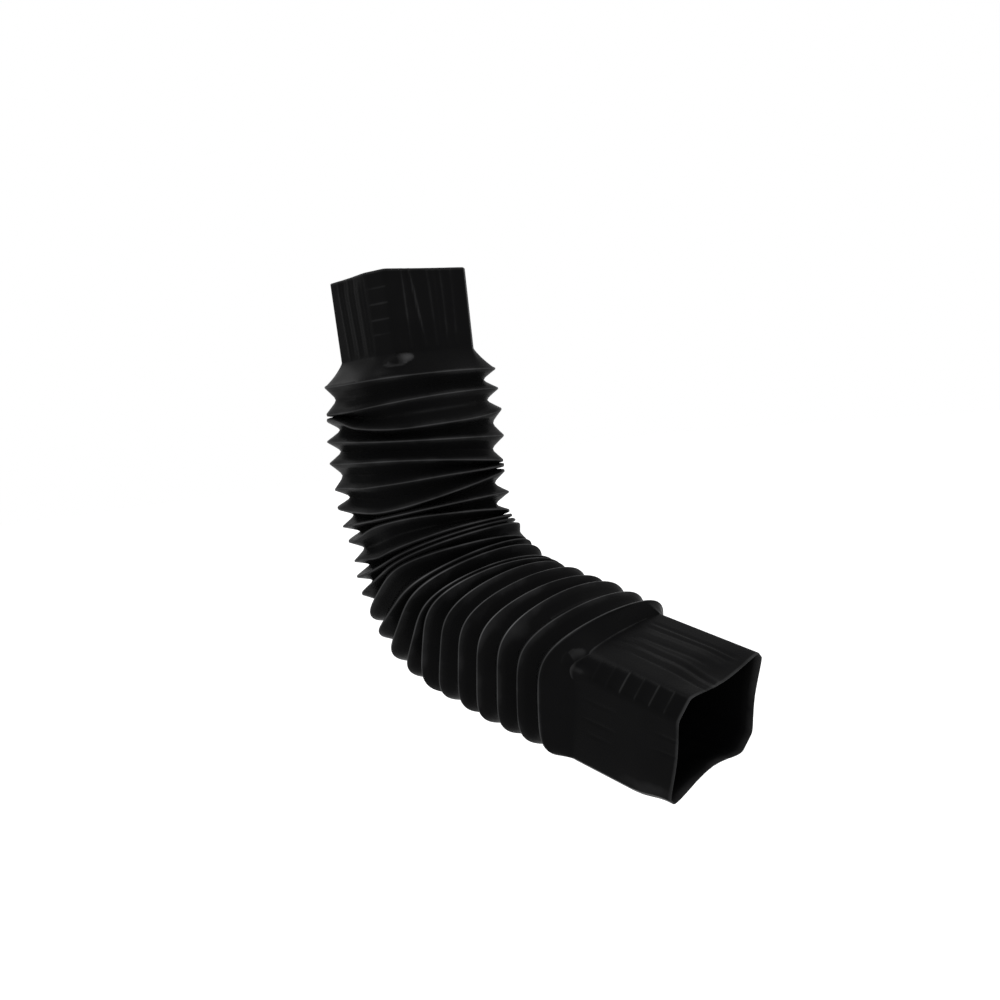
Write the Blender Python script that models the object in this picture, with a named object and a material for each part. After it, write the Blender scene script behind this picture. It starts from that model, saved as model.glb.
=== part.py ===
"""Flexible downspout elbow, blow-moulded in one piece of black plastic.

Two ribbed rectangular collars are joined by a bellows of sharp folds, which is
bent by hand and keeps its shape. Some folds stand open and others are pushed
shut, so no two lie alike.

Frame: +Z up, along the inlet collar. +X is the way the outlet turns and +Y is
the far side. The origin is the centre of the inlet collar's back face.
Sizes are in metres and angles in degrees.
"""

import math

import bmesh
import bpy
import numpy as np

# Wall of the blown plastic, the same all over.
WALL = 0.0013

# Collars: width is across the bend, depth is from the heel side to the throat side.
# Their far, throat, near and heel faces are dished in at the rims, and the outlet's heel
# side swells behind its rim.
INLET_WIDTH = 0.084
INLET_DEPTH = 0.0805
INLET_LENGTH = 0.0635
INLET_DISH = (0.0012, 0.0012, 0.0012, 0.0012)
INLET_DISH_REACH = 0.018
INLET_SWELL = 0.0
OUTLET_WIDTH = 0.1025
OUTLET_DEPTH = 0.078
OUTLET_LENGTH = 0.081
OUTLET_DISH = (0.003, 0.004, 0.0025, 0.0075)
OUTLET_DISH_REACH = 0.034
OUTLET_SWELL = 0.005

# Corners of both collars, cut off at 45 degrees.
FAR_THROAT_CUT = 0.006
NEAR_THROAT_CUT = 0.012
NEAR_HEEL_CUT = 0.006
FAR_HEEL_CUT = 0.011
CORNER_CUTS = (FAR_THROAT_CUT, NEAR_THROAT_CUT, NEAR_HEEL_CUT, FAR_HEEL_CUT)

# Lengthwise ribs on the collars, by their place from one side's edge at -1 to the other's.
RIB_HEIGHT = 0.0008
RIB_WIDTH = 0.0022
RIB_PLAIN_END = 0.009
RIB_RUN_OUT = 0.004
WIDE_FACE_RIBS = (-0.64, -0.48, -0.33, -0.17, 0.11, 0.37, 0.55)
NARROW_FACE_RIBS = (-0.55, -0.24, 0.1, 0.48)
NO_DISH = (0.0, 0.0, 0.0, 0.0)

# Bend of the centreline, which starts and ends gently.
BEND_ANGLE = 73.0
BEND_START = 0.142
BEND_LENGTH = 0.2175
BEND_SWING = 11.5
OUTLET_TWIST = -7.0
CENTRELINE_LENGTH = 0.508

# Outline of a crest at either end of the bellows: a broad oval with flat narrow sides.
FIRST_CREST_WIDTH = 0.1295
FIRST_CREST_DEPTH = 0.103
LAST_CREST_WIDTH = 0.138
LAST_CREST_DEPTH = 0.1085
CREST_ARCH = 1.85
CREST_SQUARE = 4.6
CREST_LAND = 0.0014

# Slant length of a fold's flank, its least depth, and the least room between two crests.
FLANK = 0.0128
LEAST_FOLD_DEPTH = 0.0042
SHUT_PITCH = 0.0034

# Folds from the inlet to the outlet, in millimetres: step along the centreline from
# the crest before, then how far the crest is pushed towards the outlet on its throat
# side and on its far side, its sag, its warp from corner to corner, how far its outline
# is drawn in, and how far it is moved to the throat side.
FIRST_CREST = 80.5
FOLDS = (
    (0.0, 1.0, -2.0, -1.0, 1.0, -0.4, 2.0),
    (18.5, 0.2, -3.4, -1.5, 0.9, -1.0, 1.5),
    (16.0, -0.7, 4.1, 4.6, -2.7, -1.4, 2.0),
    (16.0, 1.5, 4.5, 0.0, -1.0, -2.0, 0.0),
    (18.0, 2.4, 5.3, -1.0, 1.8, -0.7, -2.5),
    (13.0, -3.5, 0.5, 1.5, 0.5, 0.2, -0.8),
    (11.5, 0.8, -6.8, -0.1, -4.9, 0.5, -0.8),
    (14.0, -1.5, -1.5, -0.5, -0.5, 1.1, 2.0),
    (10.5, 1.6, 0.0, -4.7, 5.1, 3.6, 0.0),
    (13.0, 0.5, -2.0, 0.5, 2.5, 3.6, 1.5),
    (8.0, 2.5, -3.5, -2.5, 1.0, 2.0, 1.0),
    (11.5, -1.5, -1.0, -1.0, -0.5, 0.5, 1.8),
    (16.0, -1.9, 5.8, 0.1, 5.6, 0.7, -0.2),
    (15.0, -0.5, 2.0, 1.0, -3.0, -0.6, 0.1),
    (14.0, -2.5, 6.5, 0.0, -1.0, -1.5, 0.6),
    (18.0, 1.0, 10.5, 0.0, 0.5, -0.3, 0.0),
    (12.0, -4.5, 11.5, 0.5, 1.5, 0.0, 0.6),
    (11.5, -1.0, 5.0, 0.5, 0.5, 0.9, 1.0),
    (19.0, -1.0, 5.0, 1.5, 0.5, 0.5, 1.8),
    (19.5, -1.0, 6.0, 0.5, 0.5, 0.5, 1.0),
    (19.5, -3.9, 6.3, 0.5, -1.3, 0.6, 1.6),
    (20.0, -3.0, 5.5, 2.5, 0.5, 1.6, 1.2),
    (18.5, -2.0, 3.5, 3.5, 3.0, 1.7, 1.0),
)

# Shoulders between a collar's neck and the nearest crest: share of the run, and
# share of the rise that the surface has made there.
SHOULDER_SHAPE = ((0.35, 0.24), (0.7, 0.6))

# Inside the folds: wall at a valley's root, and how far behind a crest the inner
# surface may lie, as a share of the flank.
ROOT_WALL = 0.001
DEEPEST_INNER_CREST = 0.7

# Points along each face of a section, corner points not counted.
FACE_POINTS = 7
OVAL_STEPS = 200
CENTRELINE_STEPS = 900
MILLIMETRE = 0.001

PLASTIC_COLOUR = (0.012, 0.012, 0.013, 1.0)
PLASTIC_ROUGHNESS = 0.42
SHARP_ANGLE = 28.0


def ease(share):
    """Rises from 0 to 1 with no kink at either end."""
    share = np.clip(share, 0.0, 1.0)
    return share**3 * (share * (6.0 * share - 15.0) + 10.0)


class Centreline:
    """The line through the middle of the elbow, with the axes of its sections."""

    def __init__(self):
        self.station = np.linspace(0.0, CENTRELINE_LENGTH, CENTRELINE_STEPS)
        turn = math.radians(BEND_ANGLE) * ease((self.station - BEND_START) / BEND_LENGTH)
        swing = math.radians(BEND_SWING)
        ahead = np.stack(
            [np.sin(turn) * math.cos(swing), np.sin(turn) * math.sin(swing), -np.cos(turn)], axis=1
        )
        throat = np.stack(
            [np.cos(turn) * math.cos(swing), np.cos(turn) * math.sin(swing), np.sin(turn)], axis=1
        )
        far = np.tile([-math.sin(swing), math.cos(swing), 0.0], (CENTRELINE_STEPS, 1))
        bellows_length = CENTRELINE_LENGTH - INLET_LENGTH - OUTLET_LENGTH
        share = ease((self.station - INLET_LENGTH) / bellows_length)
        roll = (-swing + (math.radians(OUTLET_TWIST) + swing) * share)[:, None]
        self.throat = np.cos(roll) * throat + np.sin(roll) * far
        self.far = np.cos(roll) * far - np.sin(roll) * throat
        strides = (ahead[1:] + ahead[:-1]) / 2.0 * np.diff(self.station)[:, None]
        inlet_rim = np.array([[INLET_DEPTH / 2.0, 0.0, INLET_LENGTH / 2.0]])
        self.point = inlet_rim + np.vstack([np.zeros(3), np.cumsum(strides, axis=0)])
        self.curvature = np.gradient(turn, self.station)

    def read(self, values, station):
        return np.stack([np.interp(station, self.station, column) for column in values.T], axis=1)

    def place(self, station, across, deep):
        """World points for section coordinates: across to the far side, deep to the throat."""
        station = np.broadcast_to(station, across.shape)
        middle = self.read(self.point, station)
        return (
            middle
            + across[:, None] * self.read(self.far, station)
            + deep[:, None] * self.read(self.throat, station)
        )

    def stretch(self, station, deep):
        """Length in space for each metre of centreline, at a depth from the centreline."""
        return 1.0 - np.interp(station, self.station, self.curvature) * deep


class Ring:
    """Section points of a crest or a valley, with the outward normal at each point."""

    def __init__(self, station, across, deep, out_across, out_deep):
        self.station = station
        self.across = across
        self.deep = deep
        self.out_across = out_across
        self.out_deep = out_deep

    def drawn_in(self, depth):
        return self.across - depth * self.out_across, self.deep - depth * self.out_deep

    def between(self, other):
        """The ring halfway to another one."""
        pairs = zip(vars(self).values(), vars(other).values())
        return Ring(*[(mine + theirs) / 2.0 for mine, theirs in pairs])


def oval_side(half_width, half_depth, side):
    """Evenly spaced points on one side of a crest's oval, the last of them at a corner."""
    corner_across = 0.5 ** (1.0 / CREST_ARCH)
    corner_deep = 0.5 ** (1.0 / CREST_SQUARE)
    if side % 2 == 0:
        deep = np.linspace(-corner_deep, corner_deep, OVAL_STEPS)
        across = (1.0 - np.abs(deep) ** CREST_SQUARE) ** (1.0 / CREST_ARCH)
    else:
        across = np.linspace(corner_across, -corner_across, OVAL_STEPS)
        deep = (1.0 - np.abs(across) ** CREST_ARCH) ** (1.0 / CREST_SQUARE)
    half_turn = 1.0 if side < 2 else -1.0
    across = across * half_width * half_turn
    deep = deep * half_depth * half_turn
    length = np.append(0.0, np.cumsum(np.hypot(np.diff(across), np.diff(deep))))
    wanted = length[-1] * np.arange(1, FACE_POINTS + 2) / (FACE_POINTS + 1)
    return np.interp(wanted, length, across), np.interp(wanted, length, deep)


def crest_ring(station, width, depth, drawn_in):
    """A crest's outline, at one station all round."""
    half_width, half_depth = width / 2.0, depth / 2.0
    sides = [oval_side(half_width, half_depth, side) for side in range(4)]
    across, deep = (np.concatenate(values) for values in zip(*sides))
    share_across, share_deep = across / half_width, deep / half_depth
    out_across = CREST_ARCH * np.sign(across) * np.abs(share_across) ** (CREST_ARCH - 1.0) / half_width
    out_deep = CREST_SQUARE * np.sign(deep) * np.abs(share_deep) ** (CREST_SQUARE - 1.0) / half_depth
    length = np.hypot(out_across, out_deep)
    ring = Ring(station, across, deep, out_across / length, out_deep / length)
    ring.across, ring.deep = ring.drawn_in(drawn_in)
    return ring


def plain_face(low, high, _ribs):
    """Places of a face's points along it, all level."""
    return np.linspace(low, high, FACE_POINTS), np.zeros(FACE_POINTS)


def ribbed_face(low, high, ribs):
    """Places of a face's points, with one at each rib's ridge and one at each of its feet."""
    places, heights = [low], [0.0]
    for middle in ribs:
        places += [middle - RIB_WIDTH / 2.0, middle, middle + RIB_WIDTH / 2.0]
        heights += [0.0, RIB_HEIGHT, 0.0]
    return np.array(places + [high]), np.array(heights + [0.0])


def collar_outline(size, inset, face, dish=NO_DISH, swell=None, rib_share=0.0):
    """Section coordinates of a collar: a rectangle with cut corners and dished faces."""
    width, depth, full_swell = size
    heel = depth / 2.0 + (full_swell if swell is None else swell)
    reach = [edge - inset for edge in (width / 2.0, depth / 2.0, width / 2.0, heel)]
    cuts = [cut - inset * (2.0 - math.sqrt(2.0)) for cut in CORNER_CUTS]
    across, deep, key = [], [], []
    for side in range(4):
        low = cuts[side - 1] - reach[side - 1]
        high = reach[(side + 1) % 4] - cuts[side]
        if side % 2 == 0:
            ribs = depth / 2.0 * np.array(NARROW_FACE_RIBS)
        else:
            ribs = width / 2.0 * np.array(WIDE_FACE_RIBS)
        places, heights = face(low, high, ribs)
        share = (places - low) / (high - low)
        level = reach[side] - dish[side] * (4.0 * share * (1.0 - share)) ** 2 + heights * rib_share
        level = np.append(level, reach[side] - cuts[side] / 2.0)
        along_side = np.append(places, high + cuts[side] / 2.0)
        turn = side * math.pi / 2.0
        across.append(level * math.cos(turn) - along_side * math.sin(turn))
        deep.append(level * math.sin(turn) + along_side * math.cos(turn))
        key.append(side + np.append(share * 0.9, 0.95))
    return np.concatenate(across), np.concatenate(deep), np.concatenate(key)


class Skin:
    """One side of the wall, made of rings that are joined one after another."""

    def __init__(self, mesh):
        self.mesh = mesh
        self.rings = []

    def add(self, points, key):
        ring = [self.mesh.verts.new(point) for point in points]
        if self.rings:
            join_rings(self.mesh, self.rings[-1], (ring, key))
        self.rings.append((ring, key))


def join_rings(mesh, first, second):
    """Fills the band between two closed rings whose points are in the same order."""
    (ring_a, key_a), (ring_b, key_b) = first, second
    count_a, count_b = len(ring_a), len(ring_b)
    if count_a == count_b:
        for index in range(count_a):
            after = (index + 1) % count_a
            mesh.faces.new((ring_a[index], ring_a[after], ring_b[after]))
            mesh.faces.new((ring_a[index], ring_b[after], ring_b[index]))
        return
    turns = 4.0
    next_a = np.append(key_a[1:], key_a[0] + turns)
    next_b = np.append(key_b[1:], key_b[0] + turns)
    a = b = 0
    while a < count_a or b < count_b:
        corner_a, corner_b = ring_a[a % count_a], ring_b[b % count_b]
        if b == count_b or (a < count_a and next_a[a] <= next_b[b]):
            mesh.faces.new((corner_a, ring_a[(a + 1) % count_a], corner_b))
            a += 1
        else:
            mesh.faces.new((corner_a, ring_b[(b + 1) % count_b], corner_b))
            b += 1


def place_crests(line):
    """The rings of all crests, each at least a shut fold's pitch beyond the one before."""
    whole_run = sum(fold[0] for fold in FOLDS)
    crests = []
    run = 0.0
    for step, throat_push, far_push, sag, warp, drawn_in, moved in FOLDS:
        run += step
        share = run / whole_run
        width = FIRST_CREST_WIDTH + (LAST_CREST_WIDTH - FIRST_CREST_WIDTH) * share
        depth = FIRST_CREST_DEPTH + (LAST_CREST_DEPTH - FIRST_CREST_DEPTH) * share
        crest = crest_ring(0.0, width, depth, drawn_in * MILLIMETRE)
        across = crest.across / (width / 2.0)
        deep = crest.deep / (depth / 2.0)
        push = throat_push * deep + far_push * across + sag * (deep**2 - across**2) + warp * deep * across
        crest.station = (FIRST_CREST + run + push) * MILLIMETRE
        crest.deep = crest.deep + moved * MILLIMETRE
        if crests:
            room = SHUT_PITCH / line.stretch(crest.station, crest.deep)
            crest.station = np.maximum(crest.station, crests[-1].station + room)
        crests.append(crest)
    return crests


class Valley(Ring):
    """The ring midway between two crests at their height, with the fold's depth there."""

    def __init__(self, line, before, after):
        super().__init__(*vars(before.between(after)).values())
        gap = (after.station - before.station) * line.stretch(self.station, self.deep)
        run = (gap - CREST_LAND) / 2.0
        self.depth = np.sqrt(np.maximum(FLANK**2 - run**2, LEAST_FOLD_DEPTH**2))
        self.slope = run / self.depth


class Shoulder:
    """The hollow slope between a collar's neck and the crest next to it."""

    def __init__(self, line, size, neck, crest):
        self.line, self.neck, self.crest = line, neck, crest
        self.across, self.deep, self.key = collar_outline(size, 0.0, plain_face)
        rise = np.hypot(crest.across - self.across, crest.deep - self.deep)
        self.slope = np.abs(crest.station - neck) * line.stretch(crest.station, crest.deep) / rise
        last_run, last_rise = SHOULDER_SHAPE[-1]
        self.crest_slope = self.slope * (1.0 - last_run) / (1.0 - last_rise)

    def add(self, skin, inset, at_inlet):
        """Adds the slope's rings, each moved in by the inset square to the slope."""
        shape = ((0.0, 0.0), *SHOULDER_SHAPE, (1.0, 1.0))
        marks = list(zip(shape[:-2], shape[1:-1], shape[2:]))
        for before, (run, rise), after in marks if at_inlet else reversed(marks):
            slope = self.slope * (after[0] - before[0]) / (after[1] - before[1])
            slant = np.hypot(slope, 1.0)
            across = self.across + (self.crest.across - self.across) * rise
            deep = self.deep + (self.crest.deep - self.deep) * rise
            across = across - inset * slope / slant * self.crest.out_across
            deep = deep - inset * slope / slant * self.crest.out_deep
            shift = inset / slant * (1.0 if at_inlet else -1.0)
            station = self.neck + (self.crest.station - self.neck) * run
            skin.add(self.line.place(station + shift, across, deep), self.key)


def add_collar(line, skin, inset, size, rim, neck, dish, reach):
    """Adds the rings of one collar, from its rim to its neck or the other way round."""
    at_inlet = rim < neck
    inward = 1.0 if at_inlet else -1.0
    length = abs(neck - rim)
    if inset:
        marks = [(0.0, ribbed_face, 0.0), (reach, plain_face, 0.0), (length, plain_face, 0.0)]
    else:
        rib_end = length - RIB_PLAIN_END
        marks = [
            (0.0, ribbed_face, 1.0),
            (reach / 2.0, ribbed_face, 1.0),
            (reach, ribbed_face, 1.0),
            (rib_end, ribbed_face, 1.0),
            (rib_end + RIB_RUN_OUT, ribbed_face, 0.0),
            (length, plain_face, 0.0),
        ]
    for distance, face, rib_share in marks if at_inlet else reversed(marks):
        full = ease(distance / reach)
        hollow = [side_dish * (1.0 - full) for side_dish in dish]
        swell = size[2] * full
        across, deep, key = collar_outline(size, inset, face, hollow, swell, rib_share)
        skin.add(line.place(rim + inward * distance, across, deep), key)


def add_outer_bellows(line, skin, crests, valleys, key):
    """Adds two rings for the land of each crest and one for each valley."""
    for index, crest in enumerate(crests):
        land = CREST_LAND / 2.0 / line.stretch(crest.station, crest.deep)
        skin.add(line.place(crest.station - land, crest.across, crest.deep), key)
        skin.add(line.place(crest.station + land, crest.across, crest.deep), key)
        if index < len(valleys):
            valley = valleys[index]
            skin.add(line.place(valley.station, *valley.drawn_in(valley.depth)), key)


def add_inner_bellows(line, skin, crests, valleys, shoulder_slopes, key):
    """Adds one ring inside each crest and two behind each valley, a wall's thickness away."""
    slopes = [shoulder_slopes[0]] + [valley.slope for valley in valleys] + [shoulder_slopes[1]]
    for index, crest in enumerate(crests):
        before, after = slopes[index], slopes[index + 1]
        wall_before = WALL * np.hypot(1.0, before)
        wall_after = WALL * np.hypot(1.0, after)
        depth = (wall_before + wall_after - CREST_LAND) / (before + after)
        depth = np.clip(depth, WALL, FLANK * DEEPEST_INNER_CREST)
        shift = CREST_LAND / 2.0 + after * depth - wall_after
        station = crest.station + shift / line.stretch(crest.station, crest.deep)
        skin.add(line.place(station, *crest.drawn_in(depth)), key)
        if index < len(valleys):
            valley = valleys[index]
            across, deep = valley.drawn_in(valley.depth + ROOT_WALL)
            half = WALL * np.hypot(1.0, valley.slope) - ROOT_WALL * valley.slope
            half = half / line.stretch(valley.station, deep)
            skin.add(line.place(valley.station - half, across, deep), key)
            skin.add(line.place(valley.station + half, across, deep), key)


def build_skin(line, mesh, inset):
    """Builds the outer surface, or the inner one a wall's thickness inside it."""
    crests = place_crests(line)
    valleys = [Valley(line, before, after) for before, after in zip(crests[:-1], crests[1:])]
    inlet_neck = INLET_LENGTH
    outlet_neck = CENTRELINE_LENGTH - OUTLET_LENGTH
    inlet = (INLET_WIDTH, INLET_DEPTH, INLET_SWELL)
    outlet = (OUTLET_WIDTH, OUTLET_DEPTH, OUTLET_SWELL)
    inlet_shoulder = Shoulder(line, inlet, inlet_neck, crests[0])
    outlet_shoulder = Shoulder(line, outlet, outlet_neck, crests[-1])
    key = inlet_shoulder.key
    skin = Skin(mesh)
    add_collar(line, skin, inset, inlet, 0.0, inlet_neck, INLET_DISH, INLET_DISH_REACH)
    inlet_shoulder.add(skin, inset, True)
    if inset:
        slopes = (inlet_shoulder.crest_slope, outlet_shoulder.crest_slope)
        add_inner_bellows(line, skin, crests, valleys, slopes, key)
    else:
        add_outer_bellows(line, skin, crests, valleys, key)
    outlet_shoulder.add(skin, inset, False)
    add_collar(line, skin, inset, outlet, CENTRELINE_LENGTH, outlet_neck, OUTLET_DISH, OUTLET_DISH_REACH)
    return skin


def black_plastic():
    """Black polyethylene with a dull sheen."""
    material = bpy.data.materials.new("black_plastic")
    material.use_nodes = True
    shader = material.node_tree.nodes["Principled BSDF"]
    shader.inputs["Base Color"].default_value = PLASTIC_COLOUR
    shader.inputs["Roughness"].default_value = PLASTIC_ROUGHNESS
    shader.inputs["Metallic"].default_value = 0.0
    material.diffuse_color = PLASTIC_COLOUR
    return material


def make_elbow():
    """Makes the elbow as one closed shell, open at both collars."""
    line = Centreline()
    mesh = bmesh.new()
    outer = build_skin(line, mesh, 0.0)
    inner = build_skin(line, mesh, WALL)
    for end in (0, -1):
        join_rings(mesh, outer.rings[end], inner.rings[end])
    bmesh.ops.recalc_face_normals(mesh, faces=mesh.faces)
    data = bpy.data.meshes.new("flex_elbow")
    mesh.to_mesh(data)
    mesh.free()
    data.shade_smooth()
    data.set_sharp_from_angle(angle=math.radians(SHARP_ANGLE))
    data.materials.append(black_plastic())
    elbow = bpy.data.objects.new("flex_elbow", data)
    bpy.context.scene.collection.objects.link(elbow)
    return elbow


def main():
    for existing in list(bpy.data.objects):
        bpy.data.objects.remove(existing, do_unlink=True)
    make_elbow()


main()
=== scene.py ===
import math

import bpy
import numpy as np
from mathutils import Matrix, Vector


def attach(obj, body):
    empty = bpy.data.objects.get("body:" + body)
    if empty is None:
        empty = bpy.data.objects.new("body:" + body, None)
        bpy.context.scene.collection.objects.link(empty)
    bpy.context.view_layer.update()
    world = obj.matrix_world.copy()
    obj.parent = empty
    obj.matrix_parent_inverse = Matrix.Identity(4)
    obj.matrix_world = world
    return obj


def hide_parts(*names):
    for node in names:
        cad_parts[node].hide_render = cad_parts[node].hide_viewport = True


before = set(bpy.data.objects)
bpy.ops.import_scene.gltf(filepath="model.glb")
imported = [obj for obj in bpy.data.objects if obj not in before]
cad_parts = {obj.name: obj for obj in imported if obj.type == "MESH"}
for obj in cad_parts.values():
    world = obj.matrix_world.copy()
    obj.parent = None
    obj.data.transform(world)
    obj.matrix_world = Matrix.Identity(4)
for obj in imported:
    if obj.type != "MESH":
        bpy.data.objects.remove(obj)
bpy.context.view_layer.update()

# The path of the elbow: the moulding was straight, and a hand has bent it, so its
# middle runs down the inlet leg, round the bend and out along the outlet leg.
# All sizes are in metres, and the rings of the wall below are set out along this line.
INLET_DEPTH = 0.0805
INLET_LENGTH = 0.0635
OUTLET_LENGTH = 0.081
BEND_ANGLE = math.radians(73.0)
BEND_START = 0.142
BEND_LENGTH = 0.2175
BEND_SWING = math.radians(11.5)
OUTLET_TWIST = math.radians(-7.0)
WHOLE_LENGTH = 0.508
OUTLET_NECK = WHOLE_LENGTH - OUTLET_LENGTH
PATH_POINTS = 900


def ease(share):
    """Rises from 0 to 1 with no kink at either end."""
    share = np.clip(share, 0.0, 1.0)
    return share**3 * (share * (6.0 * share - 15.0) + 10.0)


path_station = np.linspace(0.0, WHOLE_LENGTH, PATH_POINTS)
turn = BEND_ANGLE * ease((path_station - BEND_START) / BEND_LENGTH)
path_curvature = np.gradient(turn, path_station)
swing_x, swing_y = math.cos(BEND_SWING), math.sin(BEND_SWING)
path_ahead = np.stack([np.sin(turn) * swing_x, np.sin(turn) * swing_y, -np.cos(turn)], axis=1)
level_throat = np.stack([np.cos(turn) * swing_x, np.cos(turn) * swing_y, np.sin(turn)], axis=1)
level_far = np.tile([-swing_y, swing_x, 0.0], (len(path_station), 1))
twist_share = ease((path_station - INLET_LENGTH) / (OUTLET_NECK - INLET_LENGTH))
path_roll = (-BEND_SWING + (OUTLET_TWIST + BEND_SWING) * twist_share)[:, None]
path_throat = np.cos(path_roll) * level_throat + np.sin(path_roll) * level_far
path_far = np.cos(path_roll) * level_far - np.sin(path_roll) * level_throat
strides = (path_ahead[1:] + path_ahead[:-1]) / 2.0 * np.diff(path_station)[:, None]
inlet_rim = np.array([[INLET_DEPTH / 2.0, 0.0, INLET_LENGTH / 2.0]])
path_point = inlet_rim + np.vstack([np.zeros(3), np.cumsum(strides, axis=0)])


def along_path(values, station):
    """A point or a direction of the path, at each station along it."""
    columns = [np.interp(station, path_station, values[:, axis]) for axis in range(3)]
    return np.stack(columns, axis=-1)


def in_space(station, across, deep):
    """Points from section coordinates: across to the far side, deep to the throat side."""
    return (
        along_path(path_point, station)
        + across[..., None] * along_path(path_far, station)
        + deep[..., None] * along_path(path_throat, station)
    )


def stretch(station, deep):
    """Length in space for each metre of path, at a depth from the path."""
    return 1.0 - np.interp(station, path_station, path_curvature) * deep


# The two collars: blown rectangles that slip over a downspout. Their corners are cut
# off, their faces carry soft lengthwise ribs and grooves, and the rims have been
# squeezed a little out of shape on the shelf.
WALL = 0.0013
MM_PER_METRE = 1000.0

# A section goes round the far, throat, near and heel sides, with as many points on each.
# The cut corner between the throat and near sides is the one in plain view, so places near
# it are counted in points from its middle, towards the near side.
SIDE_POINTS = 70
STRIP_POINTS = 8
STRIP_SHARE = STRIP_POINTS / SIDE_POINTS
THROAT, NEAR = 1, 2
CORNER_PLACE = np.arange(4 * SIDE_POINTS) - (2 * SIDE_POINTS - 1)
side_share = np.arange(1, SIDE_POINTS + 1) / SIDE_POINTS


def plain_ribs(places, height, spread, first, last):
    """Even ribs that run straight down a face, as on the two faces out of sight."""
    return tuple((place, place, height, spread, first, last) for place in places)


# Ribs and grooves of the far, throat, near and heel faces: place at the rim and at the
# neck, as shares of the half face, then height, spread, and the reach from the rim, the
# last four in millimetres.
INLET_RIBS = (
    plain_ribs((-0.5, -0.1, 0.3), 0.7, 1.5, 0.0, 58.0),
    (
        (0.53, 0.48, 0.6, 1.1, 0.0, 60.0),
        (0.36, 0.15, 0.8, 1.1, 0.0, 60.0),
        (-0.03, -0.08, 0.5, 1.5, 0.0, 60.0),
        (-0.17, -0.19, 0.3, 1.5, 0.0, 50.0),
        (-0.32, -0.32, 0.5, 1.5, 0.0, 58.0),
        (-0.55, -0.52, 0.4, 1.5, 0.0, 56.0),
        (0.43, 0.31, -0.4, 1.2, 0.0, 58.0),
    ),
    (
        (0.55, 0.44, 0.35, 2.0, 0.0, 62.0),
        (0.19, 0.06, 0.35, 2.0, 0.0, 62.0),
        (-0.2, -0.27, 0.35, 2.4, 6.0, 62.0),
        (0.38, 0.26, -0.3, 1.7, 0.0, 60.0),
        (0.0, -0.1, -0.3, 1.7, 0.0, 60.0),
        (-0.42, -0.46, -0.3, 1.9, 4.0, 62.0),
    ),
    plain_ribs((-0.5, 0.0, 0.5), 0.7, 1.5, 0.0, 58.0),
)
OUTLET_RIBS = (
    plain_ribs((-0.4, 0.1), -0.4, 1.5, 0.0, 72.0),
    (
        (0.4, 0.3, -0.7, 1.1, -9.0, 74.0),
        (0.28, 0.19, 0.5, 1.3, -9.0, 72.0),
        (0.17, 0.09, -0.7, 1.1, -9.0, 74.0),
        (0.07, 0.0, 0.4, 1.3, -9.0, 72.0),
        (-0.17, -0.1, -0.6, 1.4, 20.0, 75.0),
        (-0.47, -0.42, -0.6, 1.5, 8.0, 75.0),
        (-0.57, -0.57, -0.6, 1.5, 8.0, 74.0),
        (-0.3, -0.27, 0.3, 2.4, 10.0, 72.0),
        (-0.52, -0.5, 0.3, 1.2, 8.0, 74.0),
    ),
    (
        (-0.34, -0.29, -0.5, 1.0, 48.0, 73.0),
        (0.04, 0.09, -0.5, 1.0, 48.0, 73.0),
        (0.28, 0.36, -0.4, 1.0, 50.0, 70.0),
        (-0.27, -0.27, -0.5, 1.0, -9.0, 14.0),
        (0.05, 0.05, -0.5, 1.0, -9.0, 15.0),
    ),
    plain_ribs((-0.4, 0.0, 0.4), -0.4, 1.5, 0.0, 72.0),
)
RIB_RUN_OUT = 5.0

# Small ridges cross the cut near-throat corner, each with its place and height in
# millimetres, and a crease runs along the corner's lower edge.
INLET_TICKS = ((13.0, 0.2), (25.0, 0.25), (37.0, 0.3), (48.0, 0.2))
OUTLET_TICKS = ((11.7, 0.5), (23.4, 0.5), (35.0, 0.4), (46.8, 0.65), (58.4, 0.25), (69.8, 0.2))
TICK_SPREAD = 0.85
STRIP_FULLNESS = 1.25
STRIP_SHARPNESS = 6
CREASE_START = 2.0
CREASE_RUN_OUT = 9.0
CREASE_SPREAD = 1.1

# Values that differ between the collars. Groups of four are for the four sides: how far
# the rim is dished, how far the neck bows away from it, and the two legs of the cut corner
# after each side. The heel face swells and the near face tapers behind the rim, the hollow
# is the shoulder's, and an ear is a small pad on the shoulder. At the near-throat corner
# the neck is tucked back by the tuck, and the softness rounds its edge. The values on the
# last line of each paint light into the colour: a highlight on the ear and along the neck,
# shade on the cut strip and on the near face, and a reflection of the floor low on the near face.
INLET = {
    "width": 0.084, "depth": INLET_DEPTH, "length": INLET_LENGTH, "swell": 0.0, "taper": 0.0009,
    "dish": (0.0012, 0.0012, 0.0012, 0.0012), "dish_reach": 0.018, "bow": (0.0, 0.0, 0.0, 0.0),
    "cuts": ((0.006, 0.006), (0.006, 0.02), (0.006, 0.006), (0.011, 0.011)),
    "tuck": 0.0, "softness": 0.0, "hollow": 1.2,
    "ribs": INLET_RIBS, "ticks": INLET_TICKS, "crease": 0.1,
    "ear_across": -0.0335, "ear_deep": 0.0395, "ear_length": 0.0145, "ear_height": 0.005,
    "ear_highlight": 0.42, "neck_highlight": 0.0, "strip_painted_shade": 0.0, "near_shade_factor": 0.1, "sheen": 0.0,
}
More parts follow.
